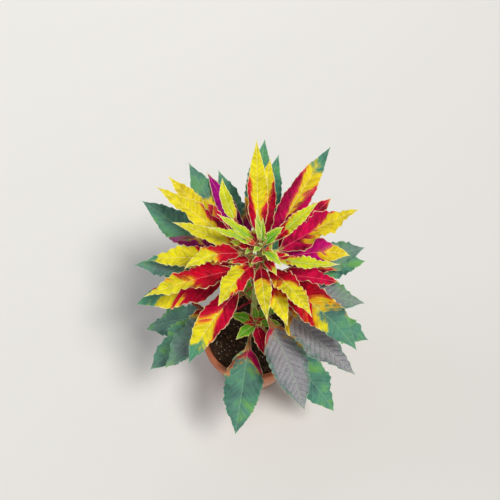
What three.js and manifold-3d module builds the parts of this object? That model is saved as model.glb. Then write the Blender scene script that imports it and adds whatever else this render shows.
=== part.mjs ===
// A potted Joseph's coat: one upright stem in a plain clay pot of potting soil. A crown of long
// coloured leaves stands at its top, with tufts of small leaves in some of its axils. Green leaves
// hang on long stalks below, and side shoots stand in three of the lower axils. Millimetres, +Z up,
// the origin at the middle of the pot's foot. The crown's best side faces -Y.
import * as THREE from "three";
import { mergeVertices } from "three/addons/utils/BufferGeometryUtils.js";
import Module from "manifold-3d";

const wasm = await Module();
wasm.setup();

// Driving dimensions
const gap = 0.3; // between solids that touch
const pot = { height: 168, footRadius: 64, rimRadius: 101, band: 36, bandStep: 5, wall: 7.5, floor: 10 };
const potSides = 48;
const drain = { count: 3, radius: 6, ring: 34, sides: 16 };
const soil = { top: 148, rings: 5, broadLump: 1.6, fineLump: 1.3 };
const stem = { top: 482, footRadius: 6.6, topRadius: 3.6, rootTip: 62, lean: 12, bow: 3 };
const stemSkin = { ribs: 7, ribDepth: 0.09, sections: 11 };
const blade = { thickness: 0.9, tipHalf: 0.6, widest: 0.42, fullness: 0.8, taper: 1.12, arch: 0.16 };
const ripple = { depth: 0.18, count: 2.6 }; // of the margins, in half widths and waves a blade
const stalk = { half: 1.7, flare: 1.1, flareLength: 4, depth: 2.4 };
const smallLeaf = 30; // a leaf narrower than this has a thinner stalk
const largeMesh = { strips: 4, segments: 9 };
const smallMesh = { strips: 2, segments: 6 };
const crown = { first: 471, spacing: 3.3, yellow: 14, red: 24 };
const lower = { count: 12, first: 352, spacing: 13.5, turn: 137.5, start: 20 };
const bud = { radius: 3.3, height: 19, firstLeaf: 2.6, spacing: 1.6, sunk: 1.9 };
const shoot = { reach: 40, rise: 34, radius: 1.9, sections: 5, sides: 6, leafDrop: 7, sunk: 1.3 };
const tuft = { reach: 8, rise: 8, radius: 1.2, sections: 3, sides: 6, leafDrop: 2.4, sunk: 0.9 };

// Crown leaves from the youngest down, read from the photograph one by one:
// azimuth, stalk, blade, width, lift, droop, sway, roll, fold (mm and degrees)
const crownLeaves = [
  [33, 32, 94, 22, 34, 22, 5, 10, 24],
  [139, 70, 70, 20, 38, 12, -50, 0, 22],
  [-25, 34, 100, 22, 22, 27, 34, -8, 22],
  [185, 37, 94, 36, 28, 47, 32, 12, 20],
  [-87, 29, 100, 26, 30, 52, 6, 4, 18],
  [-124, 30, 95, 42, 32, 45, 3, 14, 16],
  [160, 36, 120, 24, 23, 28, -1, -12, 22],
  [92, 46, 152, 34, 41, 12, -1, 0, 26],
  [-53, 33, 113, 36, 32, 51, -4, -10, 18],
  [25, 44, 145, 54, 23, 25, 1, -14, 20],
  [143, 54, 173, 38, 16, 24, -3, 10, 22],
  [-68, 32, 93, 34, 23, 51, -1, 6, 18],
  [199, 46, 152, 46, 16, 39, -6, 12, 22],
  [58, 53, 188, 46, 24, 14, -2, 12, 24],
  [13, 38, 122, 50, 22, 50, -16, 14, 20],
  [84, 46, 148, 40, 28, 20, -2, -8, 22],
  [167, 47, 154, 42, 5, 34, 9, -6, 22],
  [-37, 53, 164, 60, 15, 50, -11, 8, 16],
  [-132, 52, 144, 46, 4, 38, 16, -8, 18],
  [133, 60, 173, 42, 14, 5, 1, 8, 18],
  [0, 42, 105, 40, -5, 24, 4, -10, 18],
  [114, 55, 157, 32, 14, 12, 4, -8, 18],
  [191, 63, 153, 58, 1, 28, -4, -8, 18],
  [89, 76, 160, 50, 26, 0, -8, 0, 18],
  [47, 60, 135, 48, 18, 20, 0, 8, 18],
  [168, 66, 156, 58, 0, 18, 4, 8, 16],
  [123, 72, 172, 54, 14.5, 4, -8, 6, 18],
  [-45, 67, 162, 64, -10, 6, 6, -6, 16],
  [21, 69, 141, 58, 2, 19, 3, 8, 16],
  [144, 84, 168, 60, 8, 4, 0, -8, 16],
  [107, 65, 162, 50, 10, 5, 2, 8, 16],
  [-10, 52, 140, 58, 0, 19, 7, 6, 16],
  [-142, 64, 152, 58, -6, 30, 4, 6, 16],
  [82, 80, 156, 44, 24, 6, -8, 0, 18],
].map(leafOf);

// Young leaves of the growing tip, in the same columns
const tipLeaves = [
  [151, 8, 82, 18, 35, 30, -9, 8, 26],
  [-58, 8, 52, 18, 34, 34, 10, -10, 24],
  [31, 8, 42, 18, 44, 22, 0, 0, 24],
  [167, 8, 84, 16, 28, 26, 0, 10, 24],
  [84, 6, 46, 12, 66, 10, 0, 0, 30],
  [-118, 6, 24, 10, 48, 40, 0, 0, 26],
  [-110, 4, 15, 7, 76, 10, 0, 0, 30],
  [10, 4, 18, 7, 72, 14, 0, 0, 30],
  [103, 6, 56, 9, 60, 4, 0, 0, 26],
  [116, 6, 42, 8, 66, 6, 0, 0, 26],
].map(leafOf);

// Leaves of one side shoot, in the same columns
const shootLeaves = [
  [0, 6, 54, 24, 8, 42, 0, 0, 20],
  [130, 6, 44, 20, 16, 40, 0, 0, 20],
  [-124, 6, 46, 20, 18, 40, 0, 0, 22],
  [-62, 6, 44, 20, 20, 38, 0, 0, 20],
  [66, 6, 40, 18, 26, 36, 0, 0, 20],
  [176, 5, 28, 12, 46, 30, 0, 0, 24],
  [10, 4, 26, 11, 60, 24, 0, 0, 24],
].map(leafOf);

// Leaves of one tuft in an axil of the crown, in the same columns
const tuftLeaves = [
  [0, 5, 36, 15, 22, 36, 0, 0, 22],
  [72, 4, 26, 10, 46, 26, 0, 0, 22],
  [-76, 4, 30, 12, 40, 30, 0, 0, 22],
].map(leafOf);

// Where the side shoots and the tufts stand on the stem, and how far a shoot's leaves are turned
const sideShoots = [
  { azimuth: -84, height: 262, turn: 8 },
  { azimuth: 118, height: 286, turn: 40 },
  { azimuth: 12, height: 228, turn: 80 },
];
const axilTufts = [
  { azimuth: -60, height: 467 },
  { azimuth: -168, height: 449 },
  { azimuth: -96, height: 440 },
  { azimuth: -136, height: 426 },
  { azimuth: 0, height: 450 },
  { azimuth: 164, height: 472 },
  { azimuth: 114, height: 456 },
];

function leafOf([azimuth, petiole, length, width, lift, droop, sway, roll, fold]) {
  return { azimuth, petiole, length, width, lift, droop, sway, roll, fold };
}

// The lower leaves follow the stem's spiral, each hung a little lower than the one above it
const lowerLeaves = Array.from({ length: lower.count }, (_, n) => ({
  azimuth: lower.start + n * lower.turn,
  petiole: 66 + 1.6 * n,
  length: 150 + 14 * uneven(n, 1),
  width: 62 + 9 * uneven(n, 2),
  lift: 6 - 1.2 * n,
  droop: 40 + 8 * uneven(n, 3),
  sway: 10 * uneven(n, 4) - 5,
  roll: 20 * uneven(n, 5) - 10,
  fold: 15,
}));

// A repeatable draw from 0 to 1 for leaf n
function uneven(n, salt) {
  const wave = Math.sin((n + 1) * 12.9898 + salt * 78.233) * 43758.5453;
  return wave - Math.floor(wave);
}

function radians(degrees) {
  return THREE.MathUtils.degToRad(degrees);
}

// The stem's own line leaves the soil upright, bows a little and leans towards +X at the top
function stemShare(z) {
  return Math.max(0, (z - soil.top) / (stem.top - soil.top));
}

function stemCentre(z) {
  const t = stemShare(z);
  return new THREE.Vector3(stem.lean * t * t, stem.bow * Math.sin(2 * Math.PI * t), z);
}

function stemRadius(z) {
  return THREE.MathUtils.lerp(stem.footRadius, stem.topRadius, stemShare(z) ** 1.3);
}

// A leaf grows along +X from the origin. Its midrib starts at the angle lift, sinks by droop and
// turns sideways by sway. s runs from 0 at the stem to 1 at the tip.
function directionAt(leaf, s) {
  const pitch = radians(leaf.lift - leaf.droop * s ** 1.4);
  const heading = radians(leaf.sway * s * s);
  return new THREE.Vector3(
    Math.cos(pitch) * Math.cos(heading),
    Math.cos(pitch) * Math.sin(heading),
    Math.sin(pitch),
  );
}

function midribOf(leaf) {
  const steps = 60;
  const step = (leaf.petiole + leaf.length) / steps;
  const points = [new THREE.Vector3()];
  for (let k = 0; k < steps; k++) {
    points.push(points[k].clone().addScaledVector(directionAt(leaf, (k + 0.5) / steps), step));
  }
  return (s) => {
    const k = Math.min(steps - 1, Math.floor(s * steps));
    return points[k].clone().lerp(points[k + 1], s * steps - k);
  };
}

// Half the leaf's width: a stalk with a flared foot, then a blade drawn out to a point. u runs from
// 0 at the blade's base to 1 at its tip.
function halfWidth(leaf, d, u) {
  const stalkHalf = slimness(leaf) * (stalk.half + stalk.flare * Math.exp(-d / stalk.flareLength));
  if (u <= 0) return stalkHalf;
  const rise = (u / blade.widest) ** blade.fullness;
  const fall = ((1 - u) / (1 - blade.widest)) ** blade.taper;
  return Math.max(blade.tipHalf, stalkHalf * (1 - u) + (leaf.width / 2) * rise * fall);
}

function slimness(leaf) {
  return Math.min(1, leaf.width / smallLeaf);
}

// One row of points across the leaf at distance d from the stem, on its upper and its lower face:
// the blade is folded up from the midrib, arched down at the margins and rippled along them, and
// the midrib stands out below it as a rounded keel
function leafRow(leaf, order, midrib, strips, d) {
  const s = d / (leaf.petiole + leaf.length);
  const u = Math.max(0, (d - leaf.petiole) / leaf.length);
  const along = d === 0 ? new THREE.Vector3(1, 0, 0) : directionAt(leaf, s);
  const level = new THREE.Vector3(-along.y, along.x, 0).normalize();
  const side = level.applyAxisAngle(along, radians(leaf.roll) * Math.min(1, 1.6 * s));
  const normal = along.clone().cross(side);
  const half = halfWidth(leaf, d, u);
  const slope = radians(leaf.fold) * Math.min(1, 3 * u);
  const upper = [];
  const under = [];
  for (let j = 0; j <= strips; j++) {
    const v = 1 - (2 * j) / strips;
    const across = v * half;
    const phase = uneven(order, v > 0 ? 6 : 7) + ripple.count * u;
    const wave = ripple.depth * half * v * v * Math.sin(2 * Math.PI * phase) * Math.min(1, 4 * u);
    const arch = blade.arch * half * Math.abs(v) ** 2.4 * Math.min(1, 3 * u);
    const rise = Math.abs(across) * Math.sin(slope) - arch + wave;
    const point = midrib(s).addScaledVector(side, across * Math.cos(slope)).addScaledVector(normal, rise);
    const reach = Math.min(1, Math.abs(across) / (stalk.half + 0.2));
    const keel = slimness(leaf) * stalk.depth * (1 - 0.75 * u) * Math.sqrt(1 - reach * reach);
    upper.push(point);
    under.push(point.clone().addScaledVector(normal, -(blade.thickness + keel)));
  }
  return { upper, under };
}

// A leaf is one closed body, with the same triangles on both faces. order picks its ripples.
function leafGeometry(leaf, order, { strips, segments }) {
  const midrib = midribOf(leaf);
  const stops = [0, leaf.petiole / 2];
  for (let k = 0; k <= segments; k++) stops.push(leaf.petiole + (k / segments) * leaf.length);
  const rows = stops.map((d) => leafRow(leaf, order, midrib, strips, d));
  const points = [...rows.flatMap((row) => row.upper), ...rows.flatMap((row) => row.under)];
  const wide = strips + 1;
  const up = (i, j) => i * wide + j;
  const down = (i, j) => (rows.length + i) * wide + j;
  const end = rows.length - 1;
  const index = [];
  for (let i = 0; i < end; i++) {
    for (let j = 0; j < strips; j++) {
      addQuad(index, up(i, j), up(i, j + 1), up(i + 1, j + 1), up(i + 1, j));
      addQuad(index, down(i, j), down(i + 1, j), down(i + 1, j + 1), down(i, j + 1));
    }
    addQuad(index, up(i, 0), up(i + 1, 0), down(i + 1, 0), down(i, 0));
    addQuad(index, up(i, strips), down(i, strips), down(i + 1, strips), up(i + 1, strips));
  }
  for (let j = 0; j < strips; j++) {
    addQuad(index, up(0, j), down(0, j), down(0, j + 1), up(0, j + 1));
    addQuad(index, up(end, j), up(end, j + 1), down(end, j + 1), down(end, j));
  }
  return meshed(points, index);
}

// Two triangles that share the diagonal from the first corner to the third
function addQuad(index, a, b, c, d) {
  index.push(a, c, d, a, b, c);
}

function meshed(points, index) {
  const geometry = new THREE.BufferGeometry().setFromPoints(points);
  geometry.setIndex(index);
  geometry.computeVertexNormals();
  return geometry;
}

// A closed tube through rings of points, each ring running anticlockwise as seen from the tube's end
function loft(rings) {
  const sides = rings[0].length;
  const last = (rings.length - 1) * sides;
  const index = [];
  for (let i = 0; i < last; i += sides) {
    for (let k = 0; k < sides; k++) {
      const next = (k + 1) % sides;
      addQuad(index, i + k, i + next, i + sides + next, i + sides + k);
    }
  }
  for (let k = 1; k + 1 < sides; k++) {
    index.push(0, k + 1, k);
    index.push(last, last + k, last + k + 1);
  }
  return meshed(rings.flat(), index);
}

// A ring about a centre, in the plane of the directions right and ahead
function ring(centre, right, ahead, sides, radiusAt) {
  return Array.from({ length: sides }, (_, k) => {
    const angle = (2 * Math.PI * k) / sides;
    const radius = radiusAt(k);
    const point = centre.clone().addScaledVector(right, radius * Math.cos(angle));
    return point.addScaledVector(ahead, radius * Math.sin(angle));
  });
}

// LatheGeometry turns its outline about +Y, and the pot stands along +Z
function uprightLathe(outline, sides) {
  const points = outline.map(([radius, z]) => new THREE.Vector2(radius, z));
  return new THREE.LatheGeometry(points, sides).rotateX(Math.PI / 2);
}

// Solids for joins and cuts
function solidOf(geometry, matrix = new THREE.Matrix4()) {
  const bare = new THREE.BufferGeometry();
  bare.setAttribute("position", geometry.getAttribute("position").clone());
  bare.setIndex(geometry.index.clone());
  const merged = mergeVertices(bare.applyMatrix4(matrix), 1e-3);
  const mesh = new wasm.Mesh({
    numProp: 3,
    vertProperties: merged.getAttribute("position").array,
    triVerts: new Uint32Array(merged.index.array),
  });
  return new wasm.Manifold(mesh);
}

function geometryOf(solid) {
  const { vertProperties, triVerts } = solid.getMesh();
  const geometry = new THREE.BufferGeometry();
  geometry.setAttribute("position", new THREE.BufferAttribute(vertProperties, 3));
  geometry.setIndex(new THREE.BufferAttribute(new Uint32Array(triVerts), 1));
  geometry.computeVertexNormals();
  return geometry;
}

// Placing
const plant = new THREE.Group();

function place(name, geometry, color, roughness, parent = plant) {
  const material = new THREE.MeshStandardMaterial({ color, roughness, metalness: 0 });
  const mesh = new THREE.Mesh(geometry, material);
  mesh.name = name;
  parent.add(mesh);
  return mesh;
}

// What grows from the stem stands in a group at the stem's centre line, turned to its azimuth
function hang(name, geometry, color, azimuth, height) {
  const turned = new THREE.Group();
  turned.position.copy(stemCentre(height));
  turned.rotation.z = radians(azimuth);
  plant.add(turned);
  place(name, geometry, color, 0.5, turned).position.x = stemRadius(height) + gap;
}

function numbered(name, n) {
  return `${name}_${String(n + 1).padStart(2, "0")}`;
}

// Pot: a lathed wall with a collar at the rim, and drain holes through its floor
const collarFoot = pot.height - pot.band;

function potInnerRadius(z) {
  const foot = pot.footRadius - pot.wall - 1;
  return THREE.MathUtils.lerp(foot, pot.rimRadius - pot.wall - 1, z / pot.height);
}

function potGeometry() {
  const outline = [
    [0, 0],
    [pot.footRadius - 3, 0],
    [pot.footRadius, 3],
    [pot.rimRadius - pot.bandStep - 4, collarFoot - 1.5],
    [pot.rimRadius - 4, collarFoot],
    [pot.rimRadius - 2.4, collarFoot + 3],
    [pot.rimRadius, pot.height - 5],
    [pot.rimRadius - 1.6, pot.height - 1],
    [pot.rimRadius - 4.2, pot.height],
    [potInnerRadius(pot.height) + 1.4, pot.height - 1],
    [potInnerRadius(pot.height - 4), pot.height - 4],
    [potInnerRadius(pot.floor + 4), pot.floor + 4],
    [potInnerRadius(pot.floor) - 4, pot.floor],
    [0, pot.floor],
  ];
  const bit = new THREE.CylinderGeometry(drain.radius, drain.radius, 4 * pot.floor, drain.sides);
  bit.rotateX(Math.PI / 2);
  let solid = solidOf(uprightLathe(outline, potSides));
  for (let k = 0; k < drain.count; k++) {
    const angle = (2 * Math.PI * k) / drain.count;
    const spot = new THREE.Matrix4();
    spot.makeTranslation(drain.ring * Math.cos(angle), drain.ring * Math.sin(angle), 0);
    solid = solid.subtract(solidOf(bit, spot));
  }
  return geometryOf(solid);
}

// Radius and height of the stem's buried foot and tap root, from the top down
const rootOutline = [
  [stem.footRadius, soil.top - 12],
  [stem.footRadius * 0.8, soil.top - 34],
  [stem.footRadius * 0.45, soil.top - 60],
  [1.2, stem.rootTip],
];

// Soil: it fills the pot, has a plain hole for the stem's foot, and a crumbly top
function soilGeometry() {
  const outer = (z) => potInnerRadius(z) - gap;
  const hole = stem.footRadius + gap;
  const outline = [
    [0, pot.floor + gap],
    [outer(pot.floor) - 4, pot.floor + gap],
    [outer(pot.floor + 4), pot.floor + 4],
    [outer(soil.top - 4), soil.top - 4],
  ];
  for (let k = 0; k <= soil.rings; k++) {
    outline.push([THREE.MathUtils.lerp(outer(soil.top) - 1.5, hole, k / soil.rings), soil.top]);
  }
  for (const [radius, z] of rootOutline) outline.push([radius + gap, z]);
  outline.push([0, stem.rootTip - gap]);
  const geometry = uprightLathe(outline, potSides);
  const position = geometry.getAttribute("position");
  for (let i = 0; i < position.count; i++) {
    const [x, y] = [position.getX(i), position.getY(i)];
    const onTop = Math.abs(position.getZ(i) - soil.top) < 0.01 && Math.hypot(x, y) > hole + 1;
    if (onTop) position.setZ(i, soil.top + soilLump(x, y));
  }
  return geometry;
}

function soilLump(x, y) {
  const broad = Math.sin(x * 0.11 + 1) * Math.cos(y * 0.09 - 0.6);
  const fine = Math.sin(x * 0.31 + y * 0.17) * Math.sin(y * 0.37 - x * 0.12);
  return soil.broadLump * broad + soil.fineLump * fine;
}

// Stem: ribbed, tapered, and standing in the soil on a tap root
function stemGeometry() {
  const [right, ahead] = [new THREE.Vector3(1, 0, 0), new THREE.Vector3(0, 1, 0)];
  const stops = rootOutline.toReversed().map(([radius, z]) => {
    return { radius, centre: new THREE.Vector3(0, 0, z) };
  });
  for (let k = 0; k <= stemSkin.sections; k++) {
    const z = THREE.MathUtils.lerp(soil.top + 0.5, stem.top, k / stemSkin.sections);
    stops.push({ radius: stemRadius(z), centre: stemCentre(z) });
  }
  const rings = stops.map(({ radius, centre }) => {
    const ribbed = (k) => radius * (k % 2 ? 1 - stemSkin.ribDepth : 1);
    return ring(centre, right, ahead, 2 * stemSkin.ribs, ribbed);
  });
  return loft(rings);
}

// Growing tip: the youngest leaves, rooted in one bud
function growingTipGeometry() {
  const outline = [
    [0, 0],
    [bud.radius, 0],
    [bud.radius - 0.1, 0.37 * bud.height],
    [0.73 * bud.radius, 0.68 * bud.height],
    [0, bud.height],
  ];
  let solid = solidOf(uprightLathe(outline, 10));
  tipLeaves.forEach((leaf, n) => {
    const height = bud.firstLeaf + bud.spacing * n;
    const matrix = new THREE.Matrix4().makeRotationZ(radians(leaf.azimuth));
    matrix.multiply(new THREE.Matrix4().makeTranslation(bud.radius - bud.sunk, 0, height));
    const geometry = leafGeometry(leaf, 60 + n, smallMesh);
    solid = solid.add(solidOf(geometry, matrix));
  });
  return geometryOf(solid);
}

// Side shoot or tuft: a stalk that curves up from the bark, and small leaves rooted in its end
function shootGeometry(form, leaves, turn, order) {
  const level = new THREE.Vector3(0, 1, 0);
  const rings = [];
  for (let k = 0; k <= form.sections; k++) {
    const tilt = (k / form.sections) * (Math.PI / 2);
    const centre = new THREE.Vector3(form.reach * Math.sin(tilt), 0, form.rise * (1 - Math.cos(tilt)));
    const up = new THREE.Vector3(-Math.sin(tilt), 0, Math.cos(tilt));
    rings.push(ring(centre, level, up, form.sides, () => form.radius));
  }
  let solid = solidOf(loft(rings));
  leaves.forEach((leaf, n) => {
    const matrix = new THREE.Matrix4().makeTranslation(form.reach, 0, form.rise - form.leafDrop + n);
    matrix.multiply(new THREE.Matrix4().makeRotationZ(radians(leaf.azimuth + turn)));
    matrix.multiply(new THREE.Matrix4().makeTranslation(form.radius - form.sunk, 0, 0));
    const geometry = leafGeometry(leaf, order + n, smallMesh);
    solid = solid.add(solidOf(geometry, matrix));
  });
  return geometryOf(solid);
}

place("pot", potGeometry(), 0xb5653f, 0.85);
place("soil", soilGeometry(), 0x3a2a20, 0.95);
place("stem", stemGeometry(), 0xa8584a, 0.55);
place("growing_tip", growingTipGeometry(), 0xb9cf2f, 0.5).position.copy(stemCentre(stem.top + gap));
crownLeaves.forEach((leaf, n) => {
  const color = n < crown.yellow ? 0xe6cf1e : n < crown.red ? 0xc0162f : 0x4f8462;
  const geometry = leafGeometry(leaf, n, largeMesh);
  hang(numbered("crown_leaf", n), geometry, color, leaf.azimuth, crown.first - crown.spacing * n);
});
lowerLeaves.forEach((leaf, n) => {
  const geometry = leafGeometry(leaf, 40 + n, largeMesh);
  hang(numbered("lower_leaf", n), geometry, 0x46785a, leaf.azimuth, lower.first - lower.spacing * n);
});
sideShoots.forEach(({ azimuth, height, turn }, n) => {
  const geometry = shootGeometry(shoot, shootLeaves, turn, 70 + 8 * n);
  hang(numbered("side_shoot", n), geometry, 0xc22a3c, azimuth, height);
});
axilTufts.forEach(({ azimuth, height }, n) => {
  const geometry = shootGeometry(tuft, tuftLeaves, 0, 100 + 4 * n);
  hang(numbered("axil_tuft", n), geometry, 0x9fb02e, azimuth, height);
});

export default plant;
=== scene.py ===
# Looks of a potted Joseph's coat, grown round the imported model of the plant.
# The dictionaries hold real millimetres and degrees, and Blender's own units are metres.
import bpy
import functools
import math
from mathutils import Matrix, Vector, noise
from types import SimpleNamespace


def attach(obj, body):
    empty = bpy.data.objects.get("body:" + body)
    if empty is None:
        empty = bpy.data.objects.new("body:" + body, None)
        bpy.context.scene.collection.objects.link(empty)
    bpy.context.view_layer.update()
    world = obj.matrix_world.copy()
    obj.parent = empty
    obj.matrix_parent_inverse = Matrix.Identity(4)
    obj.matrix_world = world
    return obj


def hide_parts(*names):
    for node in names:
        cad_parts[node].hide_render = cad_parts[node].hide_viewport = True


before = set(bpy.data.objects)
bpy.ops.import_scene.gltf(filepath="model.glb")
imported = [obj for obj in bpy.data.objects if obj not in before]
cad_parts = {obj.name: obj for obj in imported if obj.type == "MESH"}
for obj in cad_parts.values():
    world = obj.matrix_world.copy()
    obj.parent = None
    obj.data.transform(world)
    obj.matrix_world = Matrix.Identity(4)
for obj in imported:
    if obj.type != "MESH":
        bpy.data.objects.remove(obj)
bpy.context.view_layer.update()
mm = 0.001
gap = 0.3  # between pieces that touch
spiral = 137.5  # the turn from each leaf, or bud scale, to the next
degree = math.pi / 180
xyz = ("X", "Y", "Z")
soft = {"interpolation_type": "SMOOTHSTEP"}


def linear(code):
    # an sRGB hex colour as linear RGBA
    parts = [int(code[i:i + 2], 16) / 255 for i in (1, 3, 5)]
    return (*[c / 12.92 if c <= 0.04045 else ((c + 0.055) / 1.055) ** 2.4 for c in parts], 1)


def toward(azimuth, elevation=0):
    # the unit vector that way
    a, e = azimuth * degree, elevation * degree
    return Vector((math.cos(a) * math.cos(e), math.sin(a) * math.cos(e), math.sin(e)))


class Field:
    # a node's output that takes part in plain arithmetic
    def __init__(self, socket):
        self.socket = socket


def feed(socket, value):
    # links a field to a socket, or sets a plain value on it
    if isinstance(value, Field):
        socket.id_data.links.new(value.socket, socket)
    else:
        socket.default_value = value


def addNode(tree, kind, *values, give=None, **settings):
    # one node, where a kind in capitals is an operation of the Math node: its settings as keywords, its
    # inputs in order or by name in a dictionary, and the outputs that it gives
    if kind.isupper():
        kind, settings["operation"] = "Math", kind
    prefixes = ("ShaderNode", "GeometryNode", "FunctionNode", "Node")
    node = tree.nodes.new(next(p for p in prefixes if hasattr(bpy.types, p + kind)) + kind)
    for name, value in settings.items():
        setattr(node, name, value)
    sockets = [s for s in node.inputs if s.enabled]
    if values and isinstance(values[0], dict):
        sockets = [next(s for s in sockets if s.name == name) for name in values[0]]
        values = values[0].values()
    for socket, value in zip(sockets, values):
        feed(socket, value)
    if isinstance(give, tuple):
        return [Field(node.outputs[name]) for name in give]
    if give:
        return Field(node.outputs[give])
    return next((Field(s) for s in node.outputs if s.enabled), node)


def isVector(value):
    return isinstance(value, tuple) or isinstance(value, Field) and value.socket.type == "VECTOR"


def arithmetic(operation, a, b):
    tree = next(f.socket.id_data for f in (a, b) if isinstance(f, Field))
    if not isVector(a) and not isVector(b):
        return addNode(tree, operation, a, b)
    if operation == "MULTIPLY" and isVector(a) != isVector(b):
        a, b = (a, b) if isVector(a) else (b, a)
        return addNode(tree, "VectorMath", {"Vector": a, "Scale": b}, operation="SCALE")
    return addNode(tree, "VectorMath", a, b, operation=operation)


signs = {"add": "ADD", "sub": "SUBTRACT", "mul": "MULTIPLY", "truediv": "DIVIDE", "pow": "POWER"}
for sign, word in signs.items():
    setattr(Field, f"__{sign}__", lambda a, b, word=word: arithmetic(word, a, b))
    setattr(Field, f"__r{sign}__", lambda a, b, word=word: arithmetic(word, b, a))
Field.__abs__ = lambda a: addNode(a.socket.id_data, "ABSOLUTE", a)


def newTree(name, inputs, fed=False):
    # a Geometry Nodes tree with named inputs, of the kinds that their values have, and one for its skin
    kinds = {float: "Float", int: "Int", tuple: "Vector", type(None): "Material"}
    tree = bpy.data.node_groups.new(name, "GeometryNodeTree")
    tree.interface.new_socket("Geometry", in_out="OUTPUT", socket_type="NodeSocketGeometry")
    if fed:
        tree.interface.new_socket("Geometry", in_out="INPUT", socket_type="NodeSocketGeometry")
    for label, value in {**inputs, "skin": None}.items():
        kind = "NodeSocket" + kinds[type(value)]
        socket = tree.interface.new_socket(label, in_out="INPUT", socket_type=kind)
        if value is not None:
            socket.default_value = value
    given = tree.nodes.new("NodeGroupInput")
    return tree, functools.partial(addNode, tree), lambda label: Field(given.outputs[label])


def endTree(node, given, geometry):
    whole = node("RealizeInstances", geometry)
    node("GroupOutput", node("SetMaterial", {"Geometry": whole, "Material": given("skin")}))


def unrolled(node, rows, sides):
    # a grid to roll up round its length, the shares along and round it, and 0 at both ends but 1 between
    grid = node("MeshGrid", {"Size X": 1, "Size Y": 1, "Vertices X": rows, "Vertices Y": sides + 1})
    x, y, _ = node("SeparateXYZ", node("InputPosition"), give=xyz)
    s = x + 0.5
    inside = node("GREATER_THAN", s, 0.0001) * node("LESS_THAN", s, 0.9999)
    return grid, s, y + 0.5, inside


def rolledUp(node, grid, point):
    # the grid in its form, sewn up where its edges meet, and facing outward
    shaped = node("SetPosition", {"Geometry": grid, "Position": point})
    return node("FlipFaces", node("MergeByDistance", {"Geometry": shaped, "Distance": 0.002}))


def cosSin(node, angle):
    return [node(word, angle) for word in ("COSINE", "SINE")]


def grow(tree, name, values, skin, source=None):
    # works a tree out, with those values that it takes, into a plain mesh
    host = bpy.data.objects.new(name, source or bpy.data.meshes.new(name))
    bpy.context.scene.collection.objects.link(host)
    modifier = host.modifiers.new("grow", "NODES")
    modifier.node_group = tree
    values = {**values, "skin": skin}
    for socket in tree.interface.items_tree:
        if socket.in_out == "INPUT" and socket.name in values:
            value = values[socket.name]
            modifier[socket.identifier] = float(value) if socket.socket_type == "NodeSocketFloat" else value
    host.update_tag()
    depsgraph = bpy.context.evaluated_depsgraph_get()
    mesh = bpy.data.meshes.new_from_object(host.evaluated_get(depsgraph), depsgraph=depsgraph)
    bpy.data.objects.remove(host)
    mesh.name = name
    return mesh


def newMaterial(name, colours):
    # a material, what adds its nodes, what mixes two of its colours, and the colours themselves
    material = bpy.data.materials.new(name)
    material.use_nodes = True
    node = functools.partial(addNode, material.node_tree)
    mix = functools.partial(node, "Mix", data_type="RGBA")
    return material, node, mix, SimpleNamespace(**{label: linear(code) for label, code in colours.items()})


def dress(material, colour, roughness, ior, relief=None, strength=0, depth=0, more=()):
    # feeds the shader, with the relief as a bump of that strength, its depth in mm
    tree = material.node_tree
    inputs = {"Base Color": colour, "Roughness": roughness, "IOR": ior, **dict(more)}
    if relief:
        bump = {"Strength": strength, "Distance": depth * mm, "Height": relief}
        inputs["Normal"] = addNode(tree, "Bump", bump)
    for name, value in inputs.items():
        feed(tree.nodes["Principled BSDF"].inputs[name], value)
    return material


def link(name, data):
    made = bpy.data.objects.new(name, data)
    bpy.context.scene.collection.objects.link(made)
    return made


def piece(name, meshes, slot, *nodes):
    # one object from one mesh or several in mm, riding with the plant in place of its CAD nodes
    for mesh in meshes:
        mesh.transform(Matrix.Scale(mm, 4))
    objects = [link(name, mesh) for mesh in meshes]
    if len(objects) > 1:
        with bpy.context.temp_override(active_object=objects[0], selected_editable_objects=objects):
            bpy.ops.object.join()
    objects[0].name = name
    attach(objects[0], "root")
    if nodes:
        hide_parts(*nodes)


# The plant's own line, as its solids have it, with ribs and a swelling under each leaf
stem = {"soilTop": 148.0, "top": 482.0, "footRadius": 6.6, "topRadius": 3.6, "rootTip": 62.0, "lean": 12.0,
        "bow": 3.0, "ribs": 7, "ribDepth": 0.045, "swelling": 0.16, "swellingReach": 7.0,
        "rows": 260, "sides": 56}


def uneven(n, salt):
    # a repeatable draw from 0 to 1 for leaf n
    wave = math.sin((n + 1) * 12.9898 + salt * 78.233) * 43758.5453
    return wave - math.floor(wave)


def stemShare(z):
    return max(0, (z - stem["soilTop"]) / (stem["top"] - stem["soilTop"]))


def stemCentre(z):
    t = stemShare(z)
    return Vector((stem["lean"] * t * t, stem["bow"] * math.sin(math.tau * t), z))


def stemRadius(z):
    return stem["footRadius"] + (stem["topRadius"] - stem["footRadius"]) * stemShare(z) ** 1.3


# Leaf skin: living Amaranthus tricolor, hairless and satin. It gives the eye colours that break off
# along the side veins, pale veins over a quilted blade, and a thin cream line round the margin.
# shade: a maroon laid over the reds in random patches and, as painted shade, toward each blade's base
leafColours = {"crimson": "#E4002E", "hotPink": "#E60062", "purple": "#A80690", "shade": "#7A4470",
               "yellow": "#F8EE00", "olive": "#AEA206", "gold": "#F6A000", "lime": "#BAD60C",
               # darkGreen: the teal-navy of shaded leaves, laid on in patches as painted shade
               "fresh": "#5CB41C", "blueGreen": "#4E967A", "darkGreen": "#1C5054", "grass": "#6CB04C",
               "bronze": "#A4A4AA", "plum": "#3C2A3A", "cream": "#FAF2B4", "pink": "#F4587E",
               "paleGreen": "#ACD2A4", "stalk": "#B0C468", "stalkRed": "#B0203C"}
leafSkin = {"ior": 1.42, "roughness": 0.46, "underRoughness": 0.6, "specular": 0.1, "glow": 0.05,
            "glowDepth": 1.2, "netSpacing": 3.6, "netDepth": 0.35, "marginLine": 0.9,
            "specklesPerMm": 0.09, "cloudsPerMm": 0.022, "streaksPerMm": 0.2}


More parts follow.
